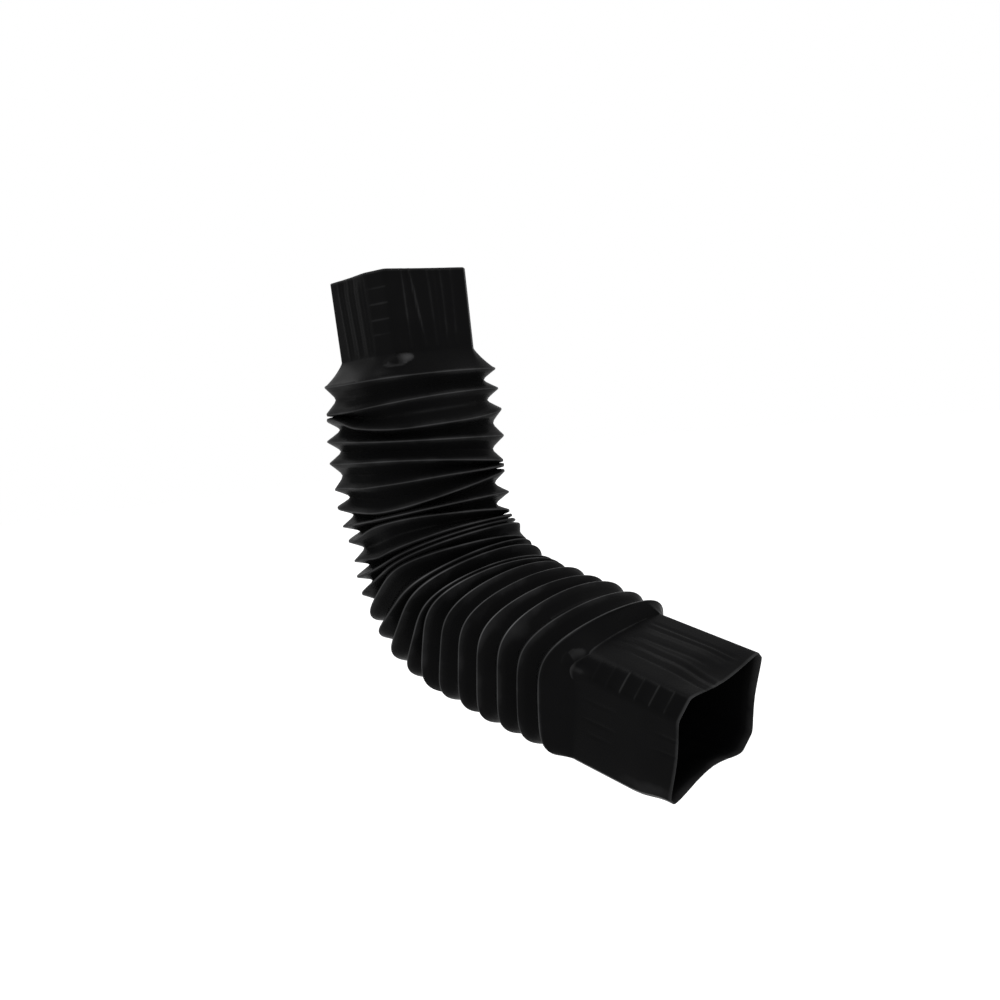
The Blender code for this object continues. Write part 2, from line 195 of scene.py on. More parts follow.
OUTLET = {
    "width": 0.1025, "depth": 0.078, "length": OUTLET_LENGTH, "swell": 0.005, "taper": 0.0,
    "dish": (0.003, 0.004, 0.0025, 0.0075), "dish_reach": 0.034, "bow": (0.0, 0.0045, 0.0, 0.0),
    "cuts": ((0.006, 0.006), (0.012, 0.012), (0.006, 0.006), (0.011, 0.011)),
    "tuck": 0.0075, "softness": 1.0, "hollow": 1.1,
    "ribs": OUTLET_RIBS, "ticks": OUTLET_TICKS, "crease": 0.5,
    "ear_across": -0.0462, "ear_deep": 0.0345, "ear_length": 0.009, "ear_height": 0.002,
    "ear_highlight": 0.13, "neck_highlight": 0.14, "strip_painted_shade": 0.7, "near_shade_factor": 1.0, "sheen": 0.09,
}
CORNER_ROUNDS = 4
SOFT_ROUNDS = 30
SOFT_SPREAD = 7.0
DISH_SHARPNESS = 2
BOW_FULLNESS = 0.6
TUCK_PLACE = 5
TUCK_SPREAD = 9.0
TUCK_LENGTH = 0.008

# How pale the plastic is painted, from 0 to 1: a little on the faces for wear, more on the
# ribs for wear and as a painted highlight, a painted highlight on the small ridges, on the
# line of the neck and on a wedge at the tucked corner of the neck, a paler rim, and a
# painted reflection of the floor low on the near face.
PLAIN_WEAR = 0.1
RIM_PALENESS = 0.3
RIM_BAND = 0.001
RIB_WEAR_AND_HIGHLIGHT = 0.16
PALEST_RIB_HEIGHT = 0.8
TICK_HIGHLIGHT = 0.4
NECK_LINE_END = 12
WEDGE_STRENGTH = 1.3
WEDGE_SPREAD = 3.0
WEDGE_LENGTH = 0.009
WEDGE_RUN_IN = 0.006
SHEEN_PLACE = SIDE_POINTS - 11
SHEEN_SPREAD = 6.0
SHEEN_START = 0.02
SHEEN_RUN_OUT = 0.04


def bell(away, spread):
    """1 in the middle, falling softly to 0 on both sides."""
    return np.exp(-((away / spread) ** 2))


def arch(share):
    """0 at both ends of a side and 1 in its middle."""
    return 4.0 * share * (1.0 - share)


def rounded(values, rounds):
    """Softens a closed outline, so that its corners get a small radius."""
    for _ in range(rounds):
        values = (np.roll(values, 1) + 2.0 * values + np.roll(values, -1)) / 4.0
    return values


def cut_corners(collar, inset):
    """The two legs of each cut corner, made shorter where the outline lies inside."""
    cuts = []
    for before, after in collar["cuts"]:
        shortening = 1.0 + inset * (math.hypot(before, after) - before - after) / (before * after)
        cuts.append((before * shortening, after * shortening))
    return cuts


def face_relief(collar, side, place, low, distance):
    """Height in millimetres of the ribs, grooves and crease, at places along one side."""
    from_rim = distance * MM_PER_METRE
    half_face = (collar["depth"] if side % 2 == 0 else collar["width"]) / 2.0
    relief = np.zeros(SIDE_POINTS)
    for rim_place, neck_place, height, spread, first, last in collar["ribs"][side]:
        middle = half_face * (rim_place + (neck_place - rim_place) * distance / collar["length"])
        run_in = ease((from_rim - first) / RIB_RUN_OUT + 0.5)
        run_out = ease((last - from_rim) / RIB_RUN_OUT + 0.5)
        relief += height * (run_in * run_out) * bell((place - middle) * MM_PER_METRE, spread)
    if side == NEAR:
        run_in = ease((from_rim - CREASE_START) / RIB_RUN_OUT)
        run_out = ease((collar["length"] * MM_PER_METRE - from_rim) / CREASE_RUN_OUT)
        crease = bell((place - low) * MM_PER_METRE, CREASE_SPREAD)
        relief -= collar["crease"] * (run_in * run_out) * crease
    return relief


def collar_wear_and_light(collar, distance, ribs, ticks, strip):
    """How pale a collar is painted round its section, for wear and as painted highlights, shade and
    reflection, from the heights of its ribs and ridges.
    """
    # On the cut strip the paleness is cut down, which paints shade there.
    # Raised ribs are painted paler, partly for wear and partly as a painted highlight.
    wear_and_painted_light = (PLAIN_WEAR + RIB_WEAR_AND_HIGHLIGHT * ribs) * (1.0 - collar["strip_painted_shade"] * strip)
    # A painted highlight on the small ridges across the cut strip.
    wear_and_painted_light += TICK_HIGHLIGHT * ticks * strip
    # The near face's paleness is scaled down by its own factor, which paints shade there.
    near_face = (CORNER_PLACE > STRIP_POINTS) & (CORNER_PLACE < SIDE_POINTS)
    wear_and_painted_light = np.where(near_face, wear_and_painted_light * collar["near_shade_factor"], wear_and_painted_light)
    # A painted highlight along the line of the neck, and another on a wedge at the tucked corner.
    neck_line = (CORNER_PLACE < NECK_LINE_END) & (CORNER_PLACE > 2 * STRIP_POINTS - SIDE_POINTS)
    wear_and_painted_light += collar["neck_highlight"] * neck_line * (distance == collar["length"])
    wedge_run = ease((distance - collar["length"] + WEDGE_LENGTH) / WEDGE_RUN_IN)
    wedge = bell(CORNER_PLACE - TUCK_PLACE, WEDGE_SPREAD) * wedge_run
    wear_and_painted_light += WEDGE_STRENGTH * collar["neck_highlight"] * wedge
    # A painted reflection of the floor, in a band low on the near face.
    floor_reflection_band = bell(CORNER_PLACE - SHEEN_PLACE, SHEEN_SPREAD)
    wear_and_painted_light += collar["sheen"] * floor_reflection_band * (1.0 - ease((distance - SHEEN_START) / SHEEN_RUN_OUT))
    return wear_and_painted_light


def collar_section(collar, inset, distance):
    """Section coordinates of a collar at a distance from its rim, and how pale each point is painted,
    for wear and for painted light.
    """
    full = ease(distance / collar["dish_reach"])
    heel = collar["depth"] / 2.0 + collar["swell"] * full
    half_width, half_depth = collar["width"] / 2.0, collar["depth"] / 2.0
    near = half_width + collar["taper"] * (1.0 - 2.0 * distance / collar["length"])
    reach = [edge - inset for edge in (half_width, half_depth, near, heel)]
    cuts = cut_corners(collar, inset)
    across, deep, relief_across, relief_deep = [], [], [], []
    for side in range(4):
        (before, start), (end, after) = cuts[side - 1], cuts[side]
        low = start - reach[side - 1]
        high = reach[(side + 1) % 4] - end
        marks = [0.0, STRIP_SHARE, 1.0 - STRIP_SHARE, 1.0]
        place = np.interp(side_share, marks, [low - start / 2.0, low, high, high + end / 2.0])
        level = reach[side] - np.interp(side_share, marks, [before / 2.0, 0.0, 0.0, after / 2.0])
        share = np.clip((place - low) / (high - low), 0.0, 1.0)
        level = level - collar["dish"][side] * (1.0 - full) * arch(share) ** DISH_SHARPNESS
        relief = face_relief(collar, side, place, low, distance)
        cosine, sine = math.cos(side * math.pi / 2.0), math.sin(side * math.pi / 2.0)
        across.append(level * cosine - place * sine)
        deep.append(level * sine + place * cosine)
        relief_across.append(relief * cosine)
        relief_deep.append(relief * sine)
    across = rounded(np.concatenate(across), CORNER_ROUNDS)
    deep = rounded(np.concatenate(deep), CORNER_ROUNDS)
    soft_share = collar["softness"] * distance / collar["length"]
    softness = soft_share * bell(CORNER_PLACE + STRIP_POINTS, SOFT_SPREAD)
    across = across + softness * (rounded(across, SOFT_ROUNDS) - across)
    deep = deep + softness * (rounded(deep, SOFT_ROUNDS) - deep)
    if inset:
        return across, deep, np.zeros(4 * SIDE_POINTS)
    relief_across, relief_deep = np.concatenate(relief_across), np.concatenate(relief_deep)
    raised = relief_across * across / half_width**2 + relief_deep * deep / half_depth**2
    ribs = np.clip(np.hypot(relief_across, relief_deep) * np.sign(raised), 0.0, PALEST_RIB_HEIGHT)
    from_rim = distance * MM_PER_METRE
    ticks = sum(height * bell(from_rim - middle, TICK_SPREAD) for middle, height in collar["ticks"])
    strip_edge = (np.abs(CORNER_PLACE) / STRIP_POINTS) ** STRIP_SHARPNESS
    strip = np.clip(STRIP_FULLNESS - strip_edge, 0.0, 1.0)
    before, start = collar["cuts"][THROAT]
    relief_across -= ticks * strip * start / math.hypot(before, start)
    relief_deep += ticks * strip * before / math.hypot(before, start)
    wear_and_painted_light = collar_wear_and_light(collar, distance, ribs, ticks, strip)
    return across + relief_across / MM_PER_METRE, deep + relief_deep / MM_PER_METRE, wear_and_painted_light


def neck_shift(collar):
    """How much further from the rim the neck lies: its bow along each face, and its tucked corner."""
    along = np.clip((side_share - STRIP_SHARE) / (1.0 - 2.0 * STRIP_SHARE), 0.0, 1.0)
    bow = np.concatenate([height * arch(along) ** BOW_FULLNESS for height in collar["bow"]])
    return bow, collar["tuck"] * bell(CORNER_PLACE - TUCK_PLACE, TUCK_SPREAD)


def collar_rows(collar, inset, rim, distances):
    """Rows of points down one collar, in the order of the distances from its rim."""
    inward = 1.0 if rim == 0.0 else -1.0
    bow, tuck = neck_shift(collar)
    rows = []
    for distance in distances:
        across, deep, wear_and_painted_light = collar_section(collar, inset, distance)
        shift = bow * ease(2.0 * distance / collar["length"] - 1.0)
        shift += tuck * ease((distance - collar["length"] + TUCK_LENGTH) / TUCK_LENGTH)
        station = rim + inward * (distance + shift)
        # A band at the rim is painted paler.
        wear_and_painted_light = np.maximum(wear_and_painted_light, RIM_PALENESS * (distance < RIM_BAND))
        rows.append((in_space(station, across, deep), wear_and_painted_light))
    return rows


# The bellows: sharp-crested folds blown into the wall between the collars. It was bent
# by hand, so some folds stand open and others are shut, and their crests lean and sag.
# Each fold, in millimetres: step from the crest before, push towards the outlet on the
# throat side and on the far side, sag, warp, how far its outline is drawn in, how far it
# is moved to the throat side, and how far it slumps on the near side.
FIRST_CREST = 80.5
FOLDS = (
    (0.0, 1.3, -1.4, -1.0, 1.0, -0.4, 2.0, 0.0),
    (18.5, 0.2, -3.4, -1.5, 0.9, -1.0, 1.5, 0.0),
    (16.0, -0.7, 3.4, 4.6, -2.7, -1.4, 2.0, 8.8),
    (16.0, 1.5, 4.5, 0.0, -1.0, -2.0, 0.0, 0.0),
    (16.6, 2.4, 5.3, -1.0, 1.8, -0.7, -2.5, 0.0),
    (14.4, -3.5, 0.5, 1.5, 0.5, 0.2, -0.8, 4.2),
    (11.5, 0.8, -6.8, -0.1, -4.9, 0.5, -0.8, 0.0),
    (14.0, -1.5, -1.5, -0.5, -0.5, 1.1, 2.0, 0.0),
    (10.5, 3.2, 0.8, -4.7, 5.1, 3.6, 1.5, -5.5),
    (13.0, 1.7, -1.5, 0.5, 2.5, 3.6, 3.0, 6.5),
    (8.0, 3.7, -3.9, -2.5, 1.0, 2.0, 2.5, 0.0),
    (11.5, -1.5, -1.0, -1.0, -0.5, 0.5, 3.4, 0.0),
    (16.0, -1.9, 5.8, 0.1, 5.6, 0.7, 1.2, 0.0),
    (15.8, 0.5, 3.1, 1.0, -3.0, -0.6, 1.0, 0.0),
    (15.0, -1.8, 7.2, 0.0, -1.0, -1.5, 0.6, 0.0),
    (18.9, 1.6, 11.1, 0.0, 0.5, -0.3, 0.0, 0.0),
    (12.0, -3.9, 12.1, 0.5, 1.5, 0.0, 0.6, 0.0),
    (10.0, -1.0, 5.0, 0.5, 0.5, 0.9, 1.0, 0.0),
    (20.0, -1.0, 5.0, 1.5, 0.5, 0.5, 1.8, 0.0),
    (18.6, -1.0, 6.0, 0.5, 0.5, 0.5, 1.0, 0.0),
    (20.1, -3.9, 6.3, 0.5, -1.3, 0.6, 1.6, 0.0),
    (18.9, -3.0, 5.5, 2.5, 0.5, 1.6, 1.2, 0.0),
    (18.4, -2.0, 3.5, 3.5, 3.0, 1.7, 1.0, 0.0),
)
CREST_WIDTHS = (0.1295, 0.138)
CREST_DEPTHS = (0.103, 0.1085)
CREST_ARCH = 1.85
CREST_SQUARE = 4.6
CREST_LAND = 0.0014
CREST_BEAD = 0.0002
OVAL_POINTS = 400
FLANK = 0.0128
FLANK_MARKS = (0.2, 0.38, 0.5, 0.62, 0.8)
VALLEY_MARK = 0.5
VALLEY_ROUNDING = 0.22
LEAST_FOLD_DEPTH = 0.0042
SHUT_PITCH = 0.0029
CLOSING_PITCH = 0.0068
SHUT_SHALLOWING = 0.8
SHUT_NARROWING = 5.0
POPPED_FOLD = 11
POPPED_SHARE = 0.85
VALLEY_LINE_FOLDS = (1, 8)
GLINTING_FOLDS = range(13, 21)

# Where the folds slump, where one has popped out and where some carry painted glints: the
# angle from the near side towards the throat, and the spread to the heel and to the throat.
SLUMP_BUMP = (math.radians(18.0), math.radians(25.0), math.radians(42.0))
POPPED_BUMP = (math.radians(140.0), math.radians(38.0), math.radians(38.0))
GLINT_BUMP = (math.radians(42.0), math.radians(14.0), math.radians(14.0))

# How pale the folds are painted: each crest is rubbed pale and carries a painted highlight,
# its sides less, and least of all where a fold lies shut, which paints shade there. Some
# valleys carry a painted highlight line, and some folds painted glints.
CREST_WEAR_AND_HIGHLIGHT = 0.46
CREST_SIDE_WEAR_AND_HIGHLIGHT = 0.2
SHUT_SIDE_WEAR_AND_SHADE = 0.08
VALLEY_LINE_HIGHLIGHT = 0.1
GLINT_PALENESS = 0.5
GLINT_FLANK_PALENESS = 0.12
GLINT_REACH = 0.55


def oval(width, depth):
    """Evenly spaced points round a crest, and the outward direction at each of them."""
    across, deep = [], []
    corner_across = 0.5 ** (1.0 / CREST_ARCH)
    corner_deep = 0.5 ** (1.0 / CREST_SQUARE)
    for side in range(4):
        if side % 2 == 0:
            up = np.linspace(-corner_deep, corner_deep, OVAL_POINTS)
            out = (1.0 - np.abs(up) ** CREST_SQUARE) ** (1.0 / CREST_ARCH)
        else:
            out = np.linspace(corner_across, -corner_across, OVAL_POINTS)
            up = (1.0 - np.abs(out) ** CREST_ARCH) ** (1.0 / CREST_SQUARE)
        half_turn = 1.0 if side < 2 else -1.0
        out, up = out * half_turn * width / 2.0, up * half_turn * depth / 2.0
        length = np.append(0.0, np.cumsum(np.hypot(np.diff(out), np.diff(up))))
        across.append(np.interp(length[-1] * side_share, length, out))
        deep.append(np.interp(length[-1] * side_share, length, up))
    across, deep = np.concatenate(across), np.concatenate(deep)
    share_across, share_deep = np.abs(across) * 2.0 / width, np.abs(deep) * 2.0 / depth
    out_across = CREST_ARCH * np.sign(across) * share_across ** (CREST_ARCH - 1.0) / width
    out_deep = CREST_SQUARE * np.sign(deep) * share_deep ** (CREST_SQUARE - 1.0) / depth
    length = np.hypot(out_across, out_deep)
    return np.array([across, deep, out_across / length, out_deep / length])


def near_bump(section, place, heel_spread, throat_spread):
    """A soft bump round the duct, at an angle from the near side towards the throat."""
    angle = np.arctan2(section[1], -section[0])
    away = (angle - place + math.pi) % (2.0 * math.pi) - math.pi
    return bell(away, np.where(away < 0.0, heel_spread, throat_spread))


run = np.cumsum([fold[0] for fold in FOLDS])
crest_ovals, crest_stations = [], []
for fold, middle in zip(FOLDS, run):
    _, throat_push, far_push, sag, warp, drawn_in, moved, slump = fold
    share = middle / run[-1]
    width = CREST_WIDTHS[0] + (CREST_WIDTHS[1] - CREST_WIDTHS[0]) * share
    depth = CREST_DEPTHS[0] + (CREST_DEPTHS[1] - CREST_DEPTHS[0]) * share
    crest = oval(width, depth)
    crest[:2] -= drawn_in / MM_PER_METRE * crest[2:]
    out, up = crest[0] * 2.0 / width, crest[1] * 2.0 / depth
    crest[1] += moved / MM_PER_METRE
    push = throat_push * up + far_push * out + sag * (up**2 - out**2) + warp * up * out
    push = push + slump * near_bump(crest, *SLUMP_BUMP)
    station = (FIRST_CREST + middle + push) / MM_PER_METRE
    if crest_stations:
        room = SHUT_PITCH / stretch(station, crest[1])
        station = np.maximum(station, crest_stations[-1] + room)
    crest_ovals.append(crest)
    crest_stations.append(station)


def wall_row(station, section, depth, wear_and_painted_light):
    """A row of points at a depth inside a section's outline, and how pale they are painted, for wear
    and for painted light.
    """
    across, deep, out_across, out_deep = section
    points = in_space(station, across - depth * out_across, deep - depth * out_deep)
    return points, np.broadcast_to(wear_and_painted_light, across.shape)


def shut_share(index, neighbour):
    """How nearly the fold between two crests is shut, from 0 to 1, round the duct."""
    if not 0 <= neighbour < len(FOLDS):
        return 0.0
    middle = (crest_stations[index] + crest_stations[neighbour]) / 2.0
    pace = stretch(middle, (crest_ovals[index][1] + crest_ovals[neighbour][1]) / 2.0)
    gap = np.abs(crest_stations[neighbour] - crest_stations[index]) * pace
    return 1.0 - ease((gap - SHUT_PITCH) / (CLOSING_PITCH - SHUT_PITCH))


def fold_between(index):
    """Middle, section, pace, half run and depth of the fold after a crest, round the duct."""
    middle = (crest_stations[index] + crest_stations[index + 1]) / 2.0
    section = (crest_ovals[index] + crest_ovals[index + 1]) / 2.0
    pace = stretch(middle, section[1])
    gap = crest_stations[index + 1] - crest_stations[index]
    half_run = (gap * pace - CREST_LAND) / 2.0
    depth = np.sqrt(np.maximum(FLANK**2 - half_run**2, LEAST_FOLD_DEPTH**2))
    depth = depth * (1.0 - SHUT_SHALLOWING * shut_share(index, index + 1))
    if index == POPPED_FOLD:
        depth = depth * (1.0 - POPPED_SHARE * near_bump(section, *POPPED_BUMP))
    return middle, section, pace, half_run, depth


def valley_share(mark):
    """How deep the wall lies at a mark between two crests, as a share of the fold's depth."""
    rise = math.hypot(2.0 * mark - 1.0, VALLEY_ROUNDING) - VALLEY_ROUNDING
    return 1.0 - rise / (math.hypot(1.0, VALLEY_ROUNDING) - VALLEY_ROUNDING)


# The shoulders: hollow slopes that widen each neck to the crest next to it. Each has an
# ear at its near-throat corner, a small pad that slants across the slope. The ear's right
# part and its lower lip carry a painted highlight.
SHOULDER_MARKS = (0.04, 0.1, 0.18, 0.27, 0.36, 0.45, 0.52, 0.6, 0.74, 0.9)
EAR_MARK = 0.27
EAR_REACH = 0.27
EAR_SLANT = 0.12
EAR_HIGHLIGHT = 0.4
EAR_HIGHLIGHT_SLOPE = 1.5
EAR_HIGHLIGHT_LIMITS = (0.05, 1.6)
LIP_PLACE = 0.85
LIP_SPREAD = 0.2
LIP_END = 0.3
LIP_HIGHLIGHT = 0.4


def shoulder_ear(collar, across, deep, mark):
    """Height of a collar's ear on the slope, as a share of its full height, and its painted highlight.
    """
    from_ear = np.hypot(across - collar["ear_across"], deep - collar["ear_deep"]) / collar["ear_length"]
    beside = from_ear * np.sign(across - collar["ear_across"])
    below = (mark - EAR_MARK + EAR_SLANT * beside) / EAR_REACH
    ear = np.clip(1.0 - beside**2 - below**2, 0.0, 1.0)
    lip = bell(np.hypot(beside, below) - LIP_PLACE, LIP_SPREAD) * (below > 0.0) * (beside < LIP_END)
    painted_highlight = ear * np.clip(EAR_HIGHLIGHT + EAR_HIGHLIGHT_SLOPE * beside, *EAR_HIGHLIGHT_LIMITS) + LIP_HIGHLIGHT * lip
    return ear, painted_highlight


def shoulder_rows(collar, neck, index, inset, marks):
    """Rows of the hollow slope between a collar's neck and the crest next to it."""
    across, deep, _ = collar_section(collar, 0.0, collar["length"])
    crest, crest_station = crest_ovals[index], crest_stations[index]
    towards_crest = 1.0 if index == 0 else -1.0
    neck = neck + towards_crest * sum(neck_shift(collar))
    rise_height = np.hypot(crest[0] - across, crest[1] - deep)
    whole_run = np.abs(crest_station - neck) * stretch(crest_station, crest[1])
    rows = []
    for mark in marks:
        rise = mark ** collar["hollow"]
        steepness = collar["hollow"] * mark ** (collar["hollow"] - 1.0) * rise_height / whole_run
        slant = np.hypot(steepness, 1.0)
        section = np.array([
            across + (crest[0] - across) * rise,
            deep + (crest[1] - deep) * rise,
            crest[2],
            crest[3],
        ])
        wear_and_painted_light = 0.0
        if not inset:
            ear, painted_highlight = shoulder_ear(collar, across, deep, mark)
            section[:2] += collar["ear_height"] * ear * crest[2:]
            # The ear's painted highlight is added to the paleness.
            wear_and_painted_light = PLAIN_WEAR + collar["ear_highlight"] * painted_highlight
        station = neck + (crest_station - neck) * mark
        station = station + towards_crest * inset * steepness / slant
        rows.append(wall_row(station, section, inset / slant, wear_and_painted_light))
    return rows


# The wall: one closed loop of rows, out along the outside from the inlet rim to the
# outlet rim and back along the inside, a wall's thickness away. It starts as a flat
# grid, is rolled up along both directions, and its two seams are welded.
RIM_ROUNDING = 0.0006
RIM_SHARES = (0.75, 0.25)
RIM_STEPS = (RIM_ROUNDING, 0.0025, 0.005)
NECK_STEPS = (0.004, 0.002, 0.0)
TICK_STEPS = (-4.0, -1.2, -0.4, 0.4, 1.2)
INLET_INNER_STEPS = (RIM_ROUNDING, 0.006, 0.012, 0.018, 0.034, INLET_LENGTH)
OUTLET_INNER_STEPS = (OUTLET_LENGTH, 0.045, 0.034, 0.022, 0.011, RIM_ROUNDING)
INNER_SHOULDER_MARKS = (0.3, 0.6, 0.85)
INNER_CREST_DEPTH = 1.6 * WALL
ROOT_WALL = 0.001
SEAM_REACH = 0.000001
SMOOTH_ANGLE = math.radians(50.0)
LAST_CREST = len(FOLDS) - 1


def collar_steps(collar):
    """Distances from the rim for a collar's rows, close together at each small ridge."""
    steps = [*RIM_STEPS, *(collar["length"] - step for step in NECK_STEPS)]
    for middle, _ in collar["ticks"]:
        steps += [(middle + step) / MM_PER_METRE for step in TICK_STEPS]
    return np.sort(steps)


outer_rows = collar_rows(INLET, 0.0, 0.0, collar_steps(INLET))
outer_rows += shoulder_rows(INLET, INLET_LENGTH, 0, 0.0, SHOULDER_MARKS)
for index, (station, crest) in enumerate(zip(crest_stations, crest_ovals)):
    half_land = CREST_LAND / 2.0 / stretch(station, crest[1])
    shut_before = shut_share(index, index - 1)
    shut_after = shut_share(index, index + 1)
    # The crest's sides carry its painted highlight, less beside a shut fold, as painted shade.
    side_wear_and_light_before = CREST_SIDE_WEAR_AND_HIGHLIGHT + (SHUT_SIDE_WEAR_AND_SHADE - CREST_SIDE_WEAR_AND_HIGHLIGHT) * shut_before
    side_wear_and_light_after = CREST_SIDE_WEAR_AND_HIGHLIGHT + (SHUT_SIDE_WEAR_AND_SHADE - CREST_SIDE_WEAR_AND_HIGHLIGHT) * shut_after
    # Painted glints near the near-throat corner of some folds, on the crest and the flank after it.
    painted_glint = near_bump(crest, *GLINT_BUMP) * (index in GLINTING_FOLDS)
    outer_rows.append(wall_row(station - half_land, crest, CREST_BEAD, side_wear_and_light_before))
    outer_rows.append(wall_row(station, crest, 0.0, CREST_WEAR_AND_HIGHLIGHT + GLINT_PALENESS * painted_glint))
    outer_rows.append(wall_row(station + half_land, crest, CREST_BEAD, side_wear_and_light_after))
    if index == LAST_CREST:
        break
    middle, _, pace, half_run, depth = fold_between(index)
    next_crest = crest_ovals[index + 1]
    for mark in FLANK_MARKS:
        fold_station = middle + (mark - VALLEY_MARK) * 2.0 * half_run / pace
        opened = valley_share(mark) ** (1.0 + SHUT_NARROWING * shut_after)
        section = crest + (next_crest - crest) * mark
        # A painted highlight along the valley of some folds.
        wear_and_painted_light = PLAIN_WEAR + VALLEY_LINE_HIGHLIGHT * (index in VALLEY_LINE_FOLDS and mark == VALLEY_MARK)
        wear_and_painted_light = wear_and_painted_light + GLINT_FLANK_PALENESS * painted_glint * max(1.0 - mark / GLINT_REACH, 0.0)
        outer_rows.append(wall_row(fold_station, section, depth * opened, wear_and_painted_light))
outer_rows += shoulder_rows(OUTLET, OUTLET_NECK, LAST_CREST, 0.0, SHOULDER_MARKS)[::-1]
outer_rows += collar_rows(OUTLET, 0.0, WHOLE_LENGTH, collar_steps(OUTLET)[::-1])

inner_rows = collar_rows(INLET, WALL, 0.0, INLET_INNER_STEPS)
inner_rows += shoulder_rows(INLET, INLET_LENGTH, 0, WALL, INNER_SHOULDER_MARKS)
for index, (station, crest) in enumerate(zip(crest_stations, crest_ovals)):
    inner_rows.append(wall_row(station, crest, INNER_CREST_DEPTH, 0.0))
    if index == LAST_CREST:
        break
    middle, section, pace, half_run, depth = fold_between(index)
    slope = half_run / depth
    half_root = (WALL * np.hypot(1.0, slope) - ROOT_WALL * slope) / pace
    for shift in (-half_root, half_root):
        inner_rows.append(wall_row(middle + shift, section, depth + ROOT_WALL, 0.0))
inner_rows += shoulder_rows(OUTLET, OUTLET_NECK, LAST_CREST, WALL, INNER_SHOULDER_MARKS)[::-1]
inner_rows += collar_rows(OUTLET, WALL, WHOLE_LENGTH, OUTLET_INNER_STEPS)


def rim_rows(outer, inner, outward):
    """Two rows that round the cut rim between the outer and the inner wall."""
    lift = RIM_ROUNDING * np.asarray(outward)
    # The rounded rim is painted paler.
    wear_and_painted_light = np.full(4 * SIDE_POINTS, RIM_PALENESS)
    return [(outer * share + inner * (1.0 - share) + lift, wear_and_painted_light) for share in RIM_SHARES]


rows = (
    outer_rows
    + rim_rows(outer_rows[-1][0], inner_rows[-1][0], path_ahead[-1])
    + inner_rows[::-1]
    + rim_rows(inner_rows[0][0], outer_rows[0][0], -path_ahead[0])
    + outer_rows[:1]
)
wall_points = np.array([np.vstack([points, points[:1]]) for points, _ in rows])
wall_wear_and_light = np.array([np.append(wear_and_painted_light, wear_and_painted_light[0]) for _, wear_and_painted_light in rows])
row_count, column_count = wall_wear_and_light.shape

bpy.ops.object.select_all(action="DESELECT")
bpy.ops.mesh.primitive_grid_add(
    x_subdivisions=column_count - 1, y_subdivisions=row_count - 1, size=1.0, location=(0.0, 0.0, 0.0)
)
elbow_wall = bpy.context.object
elbow_wall.name = "elbow_wall"
elbow_mesh = elbow_wall.data
elbow_mesh.vertices.foreach_set("co", wall_points.reshape(-1))
# The paleness attribute holds wear together with painted highlights, painted shade and a painted
# reflection.
elbow_mesh.attributes.new("wear_and_painted_light", "FLOAT", "POINT")
elbow_mesh.attributes["wear_and_painted_light"].data.foreach_set("value", wall_wear_and_light.reshape(-1))
bpy.ops.object.mode_set(mode="EDIT")
bpy.ops.mesh.select_all(action="SELECT")
bpy.ops.mesh.remove_doubles(threshold=SEAM_REACH)
bpy.ops.mesh.normals_make_consistent(inside=False)
bpy.ops.object.mode_set(mode="OBJECT")
bpy.ops.object.shade_smooth_by_angle(angle=SMOOTH_ANGLE)

# The plastic is black and nearly matt, with a fine grain. It goes from deep black where
# nothing has touched it or where shade is painted, through the black of a plain face, to the
# grey of a rubbed crest and of the painted highlights.
UNWORN_OR_SHADED_BLACK = (0.0045, 0.0045, 0.0047, 1.0)
FAINTLY_WORN = (0.0076, 0.0076, 0.0078, 1.0)
RUBBED_OR_HIGHLIT_GREY = (0.15, 0.15, 0.153, 1.0)
FAINT_WEAR = 0.15

plastic = bpy.data.materials.new("black_polyethylene")
plastic.use_nodes = True
nodes, links = plastic.node_tree.nodes, plastic.node_tree.links
shader = nodes["Principled BSDF"]
shader.inputs["Specular IOR Level"].default_value = 0.01
position = nodes.new("ShaderNodeTexCoord")
mottle = nodes.new("ShaderNodeTexNoise")
mottle.inputs["Scale"].default_value = 35.0
mottle.inputs["Detail"].default_value = 4.0
links.new(position.outputs["Object"], mottle.inputs["Vector"])
wear_and_light_places = nodes.new("ShaderNodeAttribute")
wear_and_light_places.attribute_name = "wear_and_painted_light"
patches = nodes.new("ShaderNodeMapRange")
patches.inputs["From Min"].default_value = 0.3
patches.inputs["From Max"].default_value = 0.7
patches.inputs["To Min"].default_value = 0.7
patches.inputs["To Max"].default_value = 1.3
links.new(mottle.outputs["Fac"], patches.inputs["Value"])
mottled_wear_and_light = nodes.new("ShaderNodeMath")
mottled_wear_and_light.operation = "MULTIPLY"
links.new(wear_and_light_places.outputs["Fac"], mottled_wear_and_light.inputs[0])
links.new(patches.outputs["Result"], mottled_wear_and_light.inputs[1])
colour = nodes.new("ShaderNodeValToRGB")
colour.color_ramp.elements.new(FAINT_WEAR)
for stop, finish in zip(colour.color_ramp.elements, (UNWORN_OR_SHADED_BLACK, FAINTLY_WORN, RUBBED_OR_HIGHLIT_GREY)):
    stop.color = finish
links.new(mottled_wear_and_light.outputs["Value"], colour.inputs["Fac"])
links.new(colour.outputs["Color"], shader.inputs["Base Color"])
dullness = nodes.new("ShaderNodeMapRange")
dullness.inputs["To Min"].default_value = 0.28
dullness.inputs["To Max"].default_value = 0.4
links.new(mottle.outputs["Fac"], dullness.inputs["Value"])
links.new(dullness.outputs["Result"], shader.inputs["Roughness"])
grain = nodes.new("ShaderNodeTexNoise")
grain.inputs["Scale"].default_value = 700.0
grain.inputs["Detail"].default_value = 3.0
links.new(position.outputs["Object"], grain.inputs["Vector"])
bump = nodes.new("ShaderNodeBump")
bump.inputs["Strength"].default_value = 0.25
bump.inputs["Distance"].default_value = 0.0004
links.new(grain.outputs["Fac"], bump.inputs["Height"])
